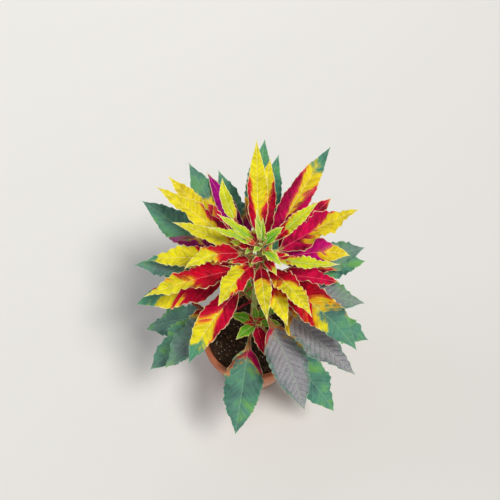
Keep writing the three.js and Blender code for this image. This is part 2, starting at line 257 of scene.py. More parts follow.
def leafMaterial():
    material, node, mix, tint = newMaterial("amaranthLeafSkin", leafColours)
    stored = [node("SeparateXYZ", node("Attribute", give="Vector", attribute_name=name), give=xyz)
              for name in leafFields]
    (vein, v, u), (distance, across, under), (redEnd, skew, greenStart), tones, habit = stored
    magenta, lime, bronze = tones
    stripe, seed, veins = habit  # vein counts side veins, v runs -1 to 1 across, u 0 to 1 along the blade

    flat = node("CombineXYZ", distance, across, seed * 31)
    speckle = node("TexNoise", {"Vector": flat, "Scale": leafSkin["specklesPerMm"], "Detail": 4})
    cloud = node("TexNoise", {"Vector": flat, "Scale": leafSkin["cloudsPerMm"], "Detail": 2})
    veinwise = node("CombineXYZ", vein * leafForm["veinSpacing"], across * 0.3, seed * 17)
    streak = node("TexNoise", {"Vector": veinwise, "Scale": leafSkin["streaksPerMm"], "Detail": 3})
    cell = node("CombineXYZ", node("FLOOR", vein), node("SIGN", v), seed * 7)
    draws = node("SeparateXYZ", node("TexWhiteNoise", cell, give="Color"), give=xyz)
    edge = abs(v)
    rank = vein / veins  # 0 at the blade's base, 1 at its tip, and even along each side vein

    # the red base ends along the side veins, and may leave a yellow stripe over the midrib
    ragged = (draws[0] - 0.5) * 0.18 + (speckle - 0.5) * 0.16 + (cloud - 0.5) * 0.3
    pastRed = rank + ragged + stripe * (1 - edge) ** 1.6 - skew * v - redEnd
    red = node("MapRange", pastRed, 0.024, -0.018, **soft)
    ragged = (draws[1] - 0.5) * 0.12 + (speckle - 0.5) * 0.3 + (cloud - 0.5) * 0.25
    green = node("MapRange", rank + ragged - greenStart, -0.03, 0.09, **soft)

    patch = node("MapRange", cloud, 0.42, 0.7, **soft)
    grain = node("MapRange", streak * 0.7 + speckle * 0.3, 0.42, 0.62, **soft)
    redTone = mix(node("MapRange", magenta, 0, 0.5), tint.crimson, tint.hotPink)
    redTone = mix(node("MapRange", magenta, 0.5, 1), redTone, tint.purple)
    # the reds darken to the shade colour in random patches and streaks, and toward each blade's base as
    # painted shade where the crown's middle lies in shadow
    shade = patch * 0.5 + grain * 0.4 + draws[2] * 0.2 + node("MapRange", rank, 0.3, 0) * 0.3
    redTone = mix(shade, redTone, tint.shade, blend_type="MULTIPLY")
    flame = node("MapRange", pastRed, -0.08, 0, **soft)
    redTone = mix(flame * (0.4 - magenta * 0.3), redTone, tint.gold)  # red turns to yellow through orange

    yellowTone = mix(grain * 0.5 + patch * 0.3 + draws[2] * 0.2, tint.yellow, tint.olive)
    gold = node("MapRange", pastRed, 0.1, 0, **soft)
    warm = node("MINIMUM", magenta * 0.5, 0.2)  # the hotter a leaf's red, the more golden
    golden = node("MAXIMUM", gold * 0.7, warm)
    yellowTone = mix(golden, mix(lime, yellowTone, tint.lime), tint.gold)
    young = node("MapRange", lime * (1.2 - edge * 0.6 - u * 0.7), 0.25, 0.8, **soft)
    yellowTone = mix(young, yellowTone, tint.fresh)

    # the greens deepen toward teal-navy in random patches: partly random tone, partly painted shade in the
    # colour of shaded leaves
    greenTone = mix(patch * 0.6 + grain * 0.3, tint.blueGreen, tint.darkGreen)
    grassy = node("MapRange", cloud + draws[2] * 0.12, 0.56, 0.4, **soft)
    age = node("MapRange", seed, 20, 40, 0.25, 0.85)  # the lower a leaf hangs, the grassier its green
    greenTone = mix(grassy * age, greenTone, tint.grass)
    dusk = node("MapRange", cloud + speckle, 0.75, 1.1, **soft)
    inner = node("MapRange", edge + (speckle - 0.5) * 1.2, 1, 0.55, **soft)
    greenTone = mix(bronze * (0.1 + dusk * 0.35 + inner * 0.75), greenTone, tint.bronze)
    colour = mix(red, mix(green, yellowTone, greenTone), redTone)

    # a thread in the midrib, the side veins, and a net of fine ones
    sideVein = node("MapRange", abs(node("FRACT", vein + 0.5) - 0.5), 0.05, 0.012, **soft)
    reach = abs(across)
    midrib = node("MapRange", reach - 0.5 * (1 - u), 0.7, 0.15, **soft)
    meshes = {"Vector": flat, "Scale": 1 / leafSkin["netSpacing"]}
    netLine = node("MapRange", node("TexVoronoi", meshes, feature="DISTANCE_TO_EDGE"), 0.16, 0, **soft)
    rim = mix(green, tint.cream, tint.paleGreen)
    pale = mix(red, rim, tint.pink)
    pastStalk = node("MapRange", u, 0, 0.05)
    onBlade = node("MAXIMUM", pastStalk, node("MapRange", reach, 1.9, 2.6))
    lit = (sideVein * 0.2 + netLine * 0.1) * (1 - bronze) * (1 - red * 0.6) * onBlade
    colour = mix(lit, colour, pale)
    colour = mix((sideVein * 0.5 + netLine * 0.35) * bronze * green * (1 - red), colour, tint.plum)
    colour = mix(midrib * 0.35, colour, pale)
    colour = mix(1 - onBlade, colour, mix(0.4 + grain * 0.6, tint.stalk, tint.stalkRed))

    # the margin's pale line, about a millimetre wide, and a duller lower face
    inward = reach / node("MAXIMUM", edge, 0.05) - reach
    margin = node("MapRange", inward - (speckle - 0.5) * 2, leafSkin["marginLine"] + 0.5, 0.3)
    colour = mix(margin * onBlade * (0.8 - green * 0.35), colour, rim)
    dull = node("HueSaturation", {"Saturation": 0.8, "Value": 1.08, "Color": colour})
    colour = mix(under * 0.8, colour, dull)

    skin = leafSkin["roughness"] + (leafSkin["underRoughness"] - leafSkin["roughness"]) * under
    relief = (1 - netLine) * 0.5 + (1 - sideVein) * 0.5 + speckle * 0.25
    light = {"Specular IOR Level": leafSkin["specular"], "Subsurface Weight": leafSkin["glow"],
             "Subsurface Radius": (1.0, 0.55, 0.2), "Subsurface Scale": leafSkin["glowDepth"] * mm}
    return dress(material, colour, skin + (speckle - 0.5) * 0.14, leafSkin["ior"], relief,
                 strength=0.5, depth=leafSkin["netDepth"], more=light)


# Leaf form: a grid rolled into a thin closed blade on a stalk
leafForm = {"thickness": 0.55, "tipHalf": 0.5, "widest": 0.42, "fullness": 0.8, "taper": 1.12, "drip": 0.5,
            "arch": 0.16, "rippleDepth": 0.24, "rippleCount": 2.6, "crinkle": 0.15, "crinkleReach": 18,
            "lobes": 0.42, "lobeCount": 7, "scallops": 0.08, "stalkHalf": 1.7, "stalkFlare": 1.1,
            "flareLength": 4, "keel": 2.4, "smallLeaf": 30, "wing": 0.07, "wingStart": 0.45,
            "veinSpacing": 11.5, "veinSweep": 0.7, "veinCurve": 0.008, "quilt": 1.2, "quiltedWidth": 45,
            "groove": 0.7, "ridge": 0.3}
leafInputs = {"stalk": 40.0, "length": 140.0, "width": 50.0, "lift": 10.0, "droop": 25.0, "sway": 0.0,
              "roll": 0.0, "fold": 18.0, "rippleLeft": 0.0, "rippleRight": 0.5, "quilt": 0.9, "rows": 90,
              "columns": 24, "zones": (0.3, 0, 0.8), "tones": (0, 0, 0), "habit": (0, 0, 12)}
leafFields = ("leafPlace", "leafSpan", "leafZones", "leafTones", "leafHabit")  # what its skin reads


def leafTree():
    tree, node, given = newTree("amaranthLeaf", leafInputs)
    form = SimpleNamespace(**leafForm)
    stalk, length, width, rows, columns = map(given, ("stalk", "length", "width", "rows", "columns"))
    # s is 0 at the stem and 1 at the tip, and turn goes over the upper face and back under the lower one
    grid, s, turn, inside = unrolled(node, rows, columns * 2)
    ramp = abs(turn * 4 - 2) - 1
    v = node("SIGN", ramp) * abs(ramp) ** 1.25
    edge = abs(v)
    under = node("GREATER_THAN", turn, 0.5)
    total = stalk + length
    distance = s * total
    u = node("MAXIMUM", (distance - stalk) / length, 0)

    def directionAt(share):
        level, rising = cosSin(node, (given("lift") - given("droop") * share ** 1.4) * degree)
        east, north = cosSin(node, given("sway") * share * share * degree)
        return node("CombineXYZ", level * east, level * north, rising)

    # the midrib adds up its steps along each column of the grid
    step = 1 / (rows - 1)
    stride = directionAt(s + step * 0.5) * (total * step)
    summed = {"Value": stride, "Group ID": node("ROUND", turn * columns * 2)}
    midrib = node("AccumulateField", summed, give="Trailing", data_type="FLOAT_VECTOR")

    forward = directionAt(s)
    fx, fy, _ = node("SeparateXYZ", forward, give=xyz)
    level = node("VectorMath", node("CombineXYZ", fy * -1, fx, 0), operation="NORMALIZE")
    upward = node("VectorMath", forward, level, operation="CROSS_PRODUCT")
    rolled = cosSin(node, given("roll") * node("MINIMUM", s * 1.6, 1) * degree)
    side = level * rolled[0] + upward * rolled[1]
    normal = node("VectorMath", forward, side, operation="CROSS_PRODUCT")

    # half the width: a flared foot, a stalk that widens into the blade, and a drawn-out tip
    slim = node("MINIMUM", width / form.smallLeaf, 1)
    flare = form.stalkFlare * node("EXPONENT", distance / -form.flareLength)
    along = node("MINIMUM", u, 1)
    ahead = 1 - along
    rise = (u / form.widest) ** form.fullness
    fall = (ahead / (1 - form.widest)) ** form.taper
    drip = 1 - form.drip * along ** 8  # the tip's last stretch is finer
    winged = node("MapRange", distance / stalk, form.wingStart, 1)
    wing = width * form.wing * winged * winged * ahead ** 4
    blade = slim * (form.stalkHalf + flare) * ahead + wing + width * 0.5 * rise * fall * drip
    blade = node("MAXIMUM", blade, form.tipHalf)
    onBlade = node("MINIMUM", u * 5, 1)
    flat = abs(v * blade)
    vein = (u * length - form.veinSweep * flat - form.veinCurve * flat * flat) / form.veinSpacing
    swell = abs(node("SINE", vein * math.pi))
    seed = node("SeparateXYZ", given("habit"), give="Y")
    spot = node("CombineXYZ", u * form.lobeCount, node("SIGN", v) * 2, seed * 5)
    lobe = node("TexNoise", {"Vector": spot, "Scale": 1, "Detail": 1}) - 0.5
    outline = (form.scallops * (swell - 0.5) + form.lobes * lobe) * edge ** 4 * onBlade
    half = blade * inside * (1 + outline)
    across = v * half
    reach = abs(across)

    # section: folded up from the midrib, arched down at the margins, rippled, and quilted between veins
    start = node("MINIMUM", u * 3, 1)
    level, rising = cosSin(node, given("fold") * start * degree)
    left = node("GREATER_THAN", v, 0)
    phase = given("rippleLeft") * left + given("rippleRight") * (1 - left) + u * form.rippleCount
    grows = node("MINIMUM", u * 4, 1)
    wave = form.rippleDepth * half * v * v * node("SINE", phase * math.tau) * grows
    fold = node("SINE", phase * 7 * math.pi + u * 9 + lobe * 9)
    crinkled = node("MINIMUM", half, form.crinkleReach) * edge ** 3
    crinkle = form.crinkle * crinkled * fold * grows
    arch = form.arch * half * edge ** 2.4 * start
    quilt = given("quilt") * (swell ** 1.5 - 0.55) * node("MINIMUM", reach / 5, 1)
    quilt = quilt * (1 - edge ** 5) * onBlade
    groove = form.groove * node("EXPONENT", reach * reach * -0.7) * ahead * onBlade
    rounding = 0.5 * slim * (1 - v * v) * (1 - onBlade)
    height = reach * rising - arch + wave + crinkle + quilt - groove + rounding
    point = midrib + side * (across * level) + normal * (height * inside)

    # lower face: the blade's own thickness, the keel below the midrib, and the raised side veins
    keelReach = node("MINIMUM", node("MAXIMUM", reach / (form.stalkHalf + 0.2), edge), 1)
    keel = slim * form.keel * (1 - 0.75 * u) * node("SQRT", 1 - keelReach * keelReach)
    ridge = form.ridge * (1 - swell) ** 4 * onBlade * (1 - edge * edge)
    thick = (form.thickness + ridge) * (1 - edge ** 8) + keel
    point = point - normal * (thick * under * inside)

    fields = [node("CombineXYZ", vein, v, u), node("CombineXYZ", distance, across, under)]
    fields += map(given, ("zones", "tones", "habit"))
    for name, value in zip(leafFields, fields):
        kept = {"Geometry": grid, "Name": name, "Value": value}
        grid = node("StoreNamedAttribute", kept, data_type="FLOAT_VECTOR")
    placed = node("InputNamedAttribute", {"Name": leafFields[0]}, data_type="FLOAT_VECTOR")
    atEdge = node("GREATER_THAN", abs(node("SeparateXYZ", placed, give="Y")), 0.995)
    creased = {"Geometry": rolledUp(node, grid, point), "Selection": atEdge, "Shade Smooth": False}
    endTree(node, given, node("SetShadeSmooth", creased, domain="EDGE"))
    return tree


# Crown leaves from the youngest down, each with its measures and its colours. The colours are where the
# red ends (0 to 1 along the blade), its lean to the left side, where the green starts (2 is nowhere), then
# how magenta, lime and bronze it is, and the yellow stripe over the midrib, without the zeros at their end.
leafMeasures = ("azimuth", "stalk", "length", "width", "lift", "droop", "sway", "roll", "fold")
crown = {"first": 471, "spacing": 3.3, "yellow": 14, "red": 24}
crownLeaves = [
    ((33, 32, 94, 22, 34, 22, 5, 10, 24), (0.26, 0.2, 2, 0, 0.5)),
    ((139, 70, 70, 20, 38, 12, -50, 0, 22), (0.03, 0, 2, 0, 0.4)),
    ((-25, 34, 100, 22, 22, 27, 34, -8, 22), (0.12, 0.1, 2, 0, 0.5)),
    ((185, 37, 94, 36, 28, 47, 32, 12, 20), (0.34, -0.15, 2, 0, 0.05)),
    ((-87, 29, 100, 26, 30, 52, 6, 4, 18), (0.3, 0, 2)),
    ((-124, 30, 95, 42, 32, 45, 3, 14, 16), (0.3, 0.4, 2)),
    ((160, 36, 120, 24, 23, 28, -1, -12, 22), (0.1, 0, 2, 0.2, 0.25)),
    ((92, 46, 152, 34, 41, 12, -1, 0, 26), (0.4, 0.1, 2, 0.1, 0, 0, 0.4)),
    ((-53, 33, 113, 36, 32, 51, -4, -10, 18), (0.34, 0.2, 2)),
    ((25, 44, 145, 54, 23, 25, 1, -14, 20), (0.42, 0.3, 2, 0.35)),
    ((143, 54, 173, 38, 16, 24, -3, 10, 22), (0.25, -0.2, 2, 0.2, 0, 0, 0.1)),
    ((-68, 32, 93, 34, 23, 51, -1, 6, 18), (0.38, 0, 2)),
    ((199, 46, 152, 46, 16, 39, -6, 12, 22), (0.47, -0.12, 2)),
    ((58, 53, 188, 46, 24, 14, -2, 12, 24), (0.58, 0.08, 0.7, 0.5, 0, 0, 0.32)),
    ((13, 38, 122, 50, 22, 50, -16, 14, 20), (0.54, 0.1, 2, 0.75)),
    ((84, 46, 148, 40, 28, 20, -2, -8, 22), (0.42, -0.3, 2, 0.1, 0, 0, 0.2)),
    ((167, 47, 154, 42, 5, 34, 9, -6, 22), (0.22, -0.1, 0.8, 0.1, 0.05)),
    ((-37, 53, 164, 60, 15, 50, -11, 8, 16), (0.37, 0.06, 0.45, 0, 0, 0.1)),
    ((-132, 52, 144, 46, 4, 38, 16, -8, 18), (0.5, 0.14, 0.64, 0.1, 0, 0, 0.22)),
    ((133, 60, 173, 42, 14, 5, 1, 8, 18), (0.26, -0.15, 2, 0.3)),
    ((0, 42, 105, 40, -5, 24, 4, -10, 18), (0.95, 0, 2, 0.25)),
    ((114, 55, 157, 32, 14, 12, 4, -8, 18), (1.3, 0, 2, 0.95)),
    ((191, 63, 153, 58, 1, 28, -4, -8, 18), (0.54, -0.2, 0.66, 0.1)),
    ((89, 76, 160, 50, 26, 0, -8, 0, 18), (0.14, 0, 0.16, 0.3)),
    ((47, 60, 135, 48, 18, 20, 0, 8, 18), (0.98, 0.1, 2, 0.25)),
    ((168, 66, 156, 58, 0, 18, 4, 8, 16), (0.22, 0.1, 0.24, 0.9, 0, 0.2)),
    ((123, 72, 172, 54, 14.5, 4, -8, 6, 18), (0.3, 0, 0.5, 0.8, 0, 0.1)),
    ((-45, 67, 162, 64, -10, 6, 6, -6, 16), (0.06, 0, 0.1, 0.3, 0, 1)),
    ((21, 69, 141, 58, 2, 19, 3, 8, 16), (0.24, 0, 0.26, 0.3, 0, 0.3)),
    ((144, 84, 168, 60, 8, 4, 0, -8, 16), (0.2, 0.1, 0.22, 1, 0, 0.1)),
    ((107, 65, 162, 50, 10, 5, 2, 8, 16), (0.24, 0, 0.25, 0.8, 0, 0.1)),
    ((-10, 52, 140, 58, 0, 19, 7, 6, 16), (0.14, 0, 0.16, 0.2, 0, 0.6)),
    ((-142, 64, 152, 58, -6, 30, 4, 6, 16), (0.2, 0, 0.22, 0.2, 0, 0.3)),
    ((82, 80, 156, 44, 24, 6, -8, 0, 18), (0.12, 0, 0.14, 0.3)),
]
lower = {"count": 12, "first": 352, "spacing": 13.5, "start": 20, "bronzed": {2: 0.9, 6: 0.6}}
largeLeaf = {"rows": 90, "columns": 24, "sunk": 2.4}  # its foot starts that far inside the bark
leafOrder = {"crown": 0, "lower": 40, "tip": 60, "shoot": 70, "tuft": 100}  # a leaf's number seeds its draws


def lowerLeaf(n):
    # the lower a leaf hangs, the longer its stalk and the lower it is held
    shape = (lower["start"] + n * spiral, 66 + 1.6 * n, 150 + 14 * uneven(n, 1), 62 + 9 * uneven(n, 2),
             6 - 1.2 * n, 40 + 8 * uneven(n, 3), 10 * uneven(n, 4) - 5, 20 * uneven(n, 5) - 10, 15)
    red = 0.1 * uneven(n, 8)
    bronze = lower["bronzed"].get(n, 0.25 * uneven(n, 9))
    return shape, (red, 0, red - 0.05, 0.6, 0, bronze)


def leafMesh(order, shape, colours, detail, redness=1):
    values = dict(zip(leafMeasures, shape)) | detail
    redEnd, skew, greenStart, magenta, lime, bronze, stripe = map(float, (*colours, 0, 0, 0, 0)[:7])
    quilted = min(1, values["width"] / leafForm["quiltedWidth"])
    values["quilt"] = leafForm["quilt"] * quilted * (1 + bronze)
    values["rippleLeft"], values["rippleRight"] = uneven(order, 6), uneven(order, 7)
    values["zones"] = (redEnd * redness, skew, greenStart)
    values["tones"] = (magenta, lime + 1 - redness, bronze)
    values["habit"] = (stripe, float(order), values["length"] / leafForm["veinSpacing"])
    return grow(leafGroup, "leaf", values, leafCoat)


def hang(mesh, azimuth, out, place):
    # turns a mesh to its azimuth round a place, that far out from it
    turn = Matrix.Rotation(azimuth * degree, 4, "Z")
    mesh.transform(Matrix.Translation(place) @ turn @ Matrix.Translation((out, 0, 0)))
    return mesh


def heightOf(group, n):
    return group["first"] - group["spacing"] * n


def largeLeaves():
    hung = []
    for n, leaf in enumerate(crownLeaves):
        slot = "yellow_leaf" if n < crown["yellow"] else "red_leaf" if n < crown["red"] else "green_leaf"
        hung.append(("crown", n, slot, heightOf(crown, n), *leaf))
    for n in range(lower["count"]):
        hung.append(("lower", n, "green_leaf", heightOf(lower, n), *lowerLeaf(n)))
    for kind, n, slot, height, shape, colours in hung:
        mesh = leafMesh(leafOrder[kind] + n, shape, colours, largeLeaf)
        hang(mesh, shape[0], stemRadius(height) - largeLeaf["sunk"], stemCentre(height))
        piece(f"{kind}Leaf{n + 1:02d}", [mesh], slot, f"{kind}_leaf_{n + 1:02d}")
    print("large leaves:", len(hung))


leafCoat = leafMaterial()
leafGroup = leafTree()
largeLeaves()

# Bud scales: papery bracts of the living plant, packed round a core at its tip and in its leaf axils.
# They give the eye a matt, grainy cluster, each grain a little different in colour.
budForm = {"count": 46, "radius": 3.0, "height": 17.0, "scale": 1.25, "seed": 3}
budColours = {"green": "#8FA83A", "red": "#A3243C", "pale": "#D9C98A"}


def budMaterial():
    material, node, mix, tint = newMaterial("amaranthBudScales", budColours)
    draw = node("NewGeometry", give="Random Per Island")
    cloud = node("TexNoise", {"Vector": node("TexCoord", give="Object"), "Scale": 0.9 / mm, "Detail": 2})
    colour = mix(node("MapRange", draw, 0.35, 0.75), tint.green, tint.red)
    colour = mix(node("MapRange", cloud, 0.5, 0.75), colour, tint.pale)
    return dress(material, colour, 0.5 + cloud * 0.25, 1.4, cloud, strength=0.4, depth=0.1)


def budTree():
    tree, node, given = newTree("budCluster", budForm)
    count, radius, height = map(given, ("count", "radius", "height"))
    points = node("MeshLine", {"Count": count})
    index = node("InputIndex")
    t = (index + 0.5) / count
    out = radius * (1 - t) ** 0.6
    east, north = cosSin(node, index * spiral * degree)
    place = node("CombineXYZ", out * east, out * north, t * height)
    placed = node("SetPosition", {"Geometry": points, "Position": place})
    aim = node("AlignRotationToVector", {"Vector": node("CombineXYZ", east, north, 0.4 + t * 2)}, axis="Z")
    grain = node("MeshIcoSphere", {"Radius": given("scale"), "Subdivisions": 2})
    grain = node("Transform", {"Geometry": grain, "Scale": (0.75, 0.75, 1.6)})
    jitter = node("RandomValue", {"Min": 0.75, "Max": 1.2, "Seed": given("seed")})
    spread = {"Points": placed, "Instance": grain, "Rotation": aim, "Scale": jitter}
    core = node("MeshUVSphere", {"Segments": 16, "Rings": 10, "Radius": 1})
    girth = node("CombineXYZ", radius, radius, height * 0.5)
    middle = node("CombineXYZ", 0, 0, height * 0.45)
    core = node("Transform", {"Geometry": core, "Scale": girth, "Translation": middle})
    join = node("JoinGeometry")
    for part in (node("InstanceOnPoints", spread), core):
        feed(join.socket.node.inputs[0], part)
    endTree(node, given, node("SetShadeSmooth", node("RealizeInstances", join)))
    return tree


# Growing tip, and the side shoots: the same leaves, small, round a bud or on a curved stalk
tipLeaves = [
    ((151, 8, 82, 18, 35, 30, -9, 8, 26), (0.1, 0, 2, 0, 0.7)),
    ((-58, 8, 52, 18, 34, 34, 10, -10, 24), (0.04, 0, 2, 0, 0.8)),
    ((31, 8, 42, 18, 44, 22, 0, 0, 24), (0.02, 0, 2, 0, 1)),
    ((167, 8, 84, 16, 28, 26, 0, 10, 24), (0.05, 0, 2, 0, 0.7)),
    ((84, 6, 46, 12, 66, 10, 0, 0, 30), (0.02, 0, 2, 0, 0.85)),
    ((-118, 6, 24, 10, 48, 40, 0, 0, 26), (0.02, 0, 2, 0, 0.9)),
    ((-110, 4, 15, 7, 76, 10, 0, 0, 30), (0, 0, 2, 0, 1)),
    ((10, 4, 18, 7, 72, 14, 0, 0, 30), (0, 0, 2, 0, 1)),
    ((103, 6, 56, 9, 60, 4, 0, 0, 26), (0, 0, 2, 0, 0.9)),
    ((116, 6, 42, 8, 66, 6, 0, 0, 26), (0.04, 0, 2, 0, 0.7)),
]
shootLeaves = [
    ((0, 6, 54, 24, 8, 42, 0, 0, 20), (1.3, 0, 2, 0.15)),
    ((130, 6, 44, 20, 16, 40, 0, 0, 20), (0.05, 0, 2, 0, 1.7)),
    ((-124, 6, 46, 20, 18, 40, 0, 0, 22), (0.1, 0, 2, 0.1, 1.5)),
    ((-62, 6, 44, 20, 20, 38, 0, 0, 20), (0.05, 0, 2, 0, 1.7)),
    ((66, 6, 40, 18, 26, 36, 0, 0, 20), (0.05, 0, 2, 0, 1.6)),
    ((176, 5, 28, 12, 46, 30, 0, 0, 24), (0.1, 0, 2, 0, 1.3)),
    ((10, 4, 26, 11, 60, 24, 0, 0, 24), (0.4, 0, 2, 0, 1)),
]
tuftLeaves = [
    ((0, 5, 36, 15, 22, 36, 0, 0, 22), (0.55, 0, 2, 0, 0.5)),
    ((72, 4, 26, 10, 46, 26, 0, 0, 22), (0.3, 0, 2, 0, 1)),
    ((-76, 4, 30, 12, 40, 30, 0, 0, 22), (0.8, 0, 2, 0.1, 0.3)),
]
bud = {"radius": 3.3, "firstLeaf": 2.6, "spacing": 1.6, "sunk": 1.9}
shoot = {"reach": 40.0, "rise": 34.0, "radius": 1.9, "foot": 3.0, "leafDrop": 7, "sunk": 1.3, "scales": 20,
         "budHeight": 7}
tuft = {"reach": 8.0, "rise": 8.0, "radius": 1.2, "foot": 2.4, "leafDrop": 2.4, "sunk": 0.9, "scales": 34,
        "budHeight": 6}
shootBud = {"share": 0.85, "scale": 0.8, "sunk": 1}  # of its stalk's radius, and in mm
# azimuth, height on the stem, the turn of the leaves, and how red they are
sideShoots = [(-84, 262, 8, 1), (118, 286, 40, 0), (12, 228, 80, 0.3)]
axilTufts = [(-60, 467, 0, 1), (-168, 449, 0, 1.2), (-96, 440, 0, 1.1), (-136, 426, 0, 0.9), (0, 450, 0, 1.2),
             (164, 472, 0, 0.8), (114, 456, 0, 1.2)]
smallLeaf = {"rows": 44, "columns": 12}


def growingTip():
    foot = stemCentre(stem["top"] + gap)
    meshes = []
    for n, (shape, colours) in enumerate(tipLeaves):
        mesh = leafMesh(leafOrder["tip"] + n, shape, colours, smallLeaf)
        lift = Vector((0, 0, bud["firstLeaf"] + bud["spacing"] * n))
        meshes.append(hang(mesh, shape[0], bud["radius"] - bud["sunk"], foot + lift))
    meshes.append(hang(grow(budGroup, "tipBud", budForm, budCoat), 0, 0, foot))
    piece("growingTip", meshes, "young_leaf", "growing_tip")


def shootTree():
    # a stalk swept along a curve that leaves the bark level and ends upright
    sizes = {label: shoot[label] for label in ("reach", "rise", "radius", "foot")}
    tree, node, given = newTree("shootStalk", sizes)
    path = {"Resolution": 20, "Start": node("CombineXYZ", given("foot") * -1, 0, 0),
            "Middle": node("CombineXYZ", given("reach"), 0, 0),
            "End": node("CombineXYZ", given("reach"), 0, given("rise"))}
    curve = node("CurveQuadraticBezier", path)
    ring = node("CurvePrimitiveCircle", {"Resolution": 20, "Radius": given("radius")})
    tube = node("CurveToMesh", {"Curve": curve, "Profile Curve": ring, "Fill Caps": True})
    endTree(node, given, node("SetShadeSmooth", tube))
    return tree


def shootMeshes(form, leaves, order, turn, redness):
    meshes = [grow(shootGroup, "shootStalk", form, stemCoat)]
    for k, (shape, colours) in enumerate(leaves):
        mesh = leafMesh(order + k, shape, colours, smallLeaf, redness)
        foot = (form["reach"], 0, form["rise"] - form["leafDrop"] + k)
        meshes.append(hang(mesh, shape[0] + turn, form["radius"] - form["sunk"], foot))
    cluster = {"count": form["scales"], "radius": form["radius"] * shootBud["share"],
               "height": form["budHeight"], "scale": shootBud["scale"], "seed": order}
    mesh = grow(budGroup, "shootBud", cluster, budCoat)
    meshes.append(hang(mesh, 0, 0, (form["reach"], 0, form["rise"] - shootBud["sunk"])))
    return meshes


def shootPieces():
    kinds = [("sideShoot", "side_shoot", "shoot_leaf", shoot, shootLeaves, leafOrder["shoot"], 8, sideShoots),
             ("axilTuft", "axil_tuft", "young_leaf", tuft, tuftLeaves, leafOrder["tuft"], 4, axilTufts)]
    for name, node, slot, form, leaves, first, stride, places in kinds:
        for n, (azimuth, height, turn, redness) in enumerate(places):
            meshes = shootMeshes(form, leaves, first + stride * n, turn, redness)
            for mesh in meshes:
                hang(mesh, azimuth, stemRadius(height) + gap, stemCentre(height))
            piece(f"{name}{n + 1:02d}", meshes, slot, f"{node}_{n + 1:02d}")
        print(name + ":", len(places))


# Stem skin: the fleshy stem of the living plant. It gives the eye a satin green with red streaks and fine
# pale fibres that run up it, and a corky brown foot.
stemColours = {"green": "#9CB45A", "red": "#A83448", "pale": "#D2CC96", "cork": "#8A6A4C"}
leafScars = {"below": 4, "drop": 2}  # marks of older leaves below the last one, each that far under its leaf


def stemMaterial():
    material, node, mix, tint = newMaterial("amaranthStemSkin", stemColours)
    place = node("TexCoord", give="Object")
    # streaks 2.4 mm wide and 6 cm long, clouds of 17 mm, and fibres 0.4 mm wide and 1 cm long
    streaks = node("Mapping", {"Vector": place, "Scale": (0.42 / mm, 0.42 / mm, 0.016 / mm)})
    fibres = node("Mapping", {"Vector": place, "Scale": (2.6 / mm, 2.6 / mm, 0.09 / mm)})
    streak = node("TexNoise", {"Vector": streaks, "Scale": 1, "Detail": 3})
    cloud = node("TexNoise", {"Vector": place, "Scale": 0.06 / mm, "Detail": 2})
    fine = node("TexNoise", {"Vector": fibres, "Scale": 1})
    blush = node("MapRange", streak * 0.7 + cloud * 0.5, 0.54, 0.82, **soft)
    colour = mix(blush, tint.green, tint.red)
    colour = mix(node("MapRange", fine, 0.5, 0.8) * 0.5, colour, tint.pale)
    height = node("SeparateXYZ", place, give="Z")
    colour = mix(node("MapRange", height + cloud * 0.03, 0.185, 0.155), colour, tint.cork)
    relief = streak + fine * 0.5
    return dress(material, colour, 0.4 + fine * 0.25, 1.42, relief, strength=0.45, depth=0.3)


def stemTree():
    tree, node, given = newTree("amaranthStem", stem, fed=True)
    rows, sides, soilTop = map(given, ("rows", "sides", "soilTop"))
    grid, s, turn, inside = unrolled(node, rows, sides)
    angle = turn * math.tau
    z = given("rootTip") + s * (given("top") - given("rootTip"))
    t = node("MAXIMUM", (z - soilTop) / (given("top") - soilTop), 0)
    deep = node("MapRange", z, soilTop - 10, given("rootTip"))
    above = given("footRadius") + (given("topRadius") - given("footRadius")) * t ** 1.3
    root = above * (1 - deep) ** 1.1 + deep
    ribbed = 1 - given("ribDepth") * (1 - node("COSINE", angle * given("ribs")))
    sway = given("bow") * node("SINE", t * math.tau)
    centre = node("CombineXYZ", given("lean") * t * t, sway, z)
    away = node("CombineXYZ", *cosSin(node, angle), 0)
    # the swellings stand where the fed points are, one for each leaf
    near = {"Geometry": given("Geometry"), "Sample Position": centre + away * (root * ribbed)}
    toLeaf = node("Proximity", near, give="Distance", target_element="POINTS")
    close = node("MAXIMUM", 1 - toLeaf / given("swellingReach"), 0)
    radius = root * ribbed * (1 + given("swelling") * close * close) * inside
    bark = rolledUp(node, grid, centre + away * radius)
    endTree(node, given, node("SetShadeSmooth", bark))
    return tree


def stemPiece():
    spots = [(shape[0], heightOf(crown, n)) for n, (shape, _) in enumerate(crownLeaves)]
    for n in range(lower["count"] + leafScars["below"]):
        spots.append((lower["start"] + n * spiral, heightOf(lower, n)))
    points = []
    for azimuth, height in spots:
        bark = stemCentre(height) + toward(azimuth) * stemRadius(height)
        points.append(bark - Vector((0, 0, leafScars["drop"])))
    source = bpy.data.meshes.new("leafScars")
    source.from_pydata(points, [], [])
    mesh = grow(stemTree(), "stem", stem, stemCoat, source)
    piece("ribbedStem", [mesh], "stem_skin", "stem")
    print("stem:", len(mesh.vertices), "points")


budCoat = budMaterial()
stemCoat = stemMaterial()
budGroup = budTree()
shootGroup = shootTree()
growingTip()
shootPieces()
stemPiece()

# Pot: red earthenware, thrown and fired without glaze. It gives the eye a dry, dusty surface with
# turning lines, a pale bloom of salts near the foot, and a darker damp band behind the soil.
pot = {"height": 168, "footRadius": 64, "rimRadius": 101, "band": 36, "bandStep": 5, "wall": 7.5, "floor": 10,
       "heel": 3, "draft": 4, "cove": 4, "sides": 160, "rounding": 1.6, "step": 2.6, "wobble": 0.25,
       "sharp": 50}
drain = {"count": 3, "ring": 34.0, "radius": 6.0, "depth": 40.0, "sides": 40}
potColours = {"clay": "#B3603C", "light": "#CB8A66", "dark": "#8A452B", "bloom": "#D9C4B0", "damp": "#7C4430"}


def innerRadius(z):
    foot = pot["footRadius"] - pot["wall"] - 1
    return foot + (pot["rimRadius"] - pot["wall"] - 1 - foot) * z / pot["height"]


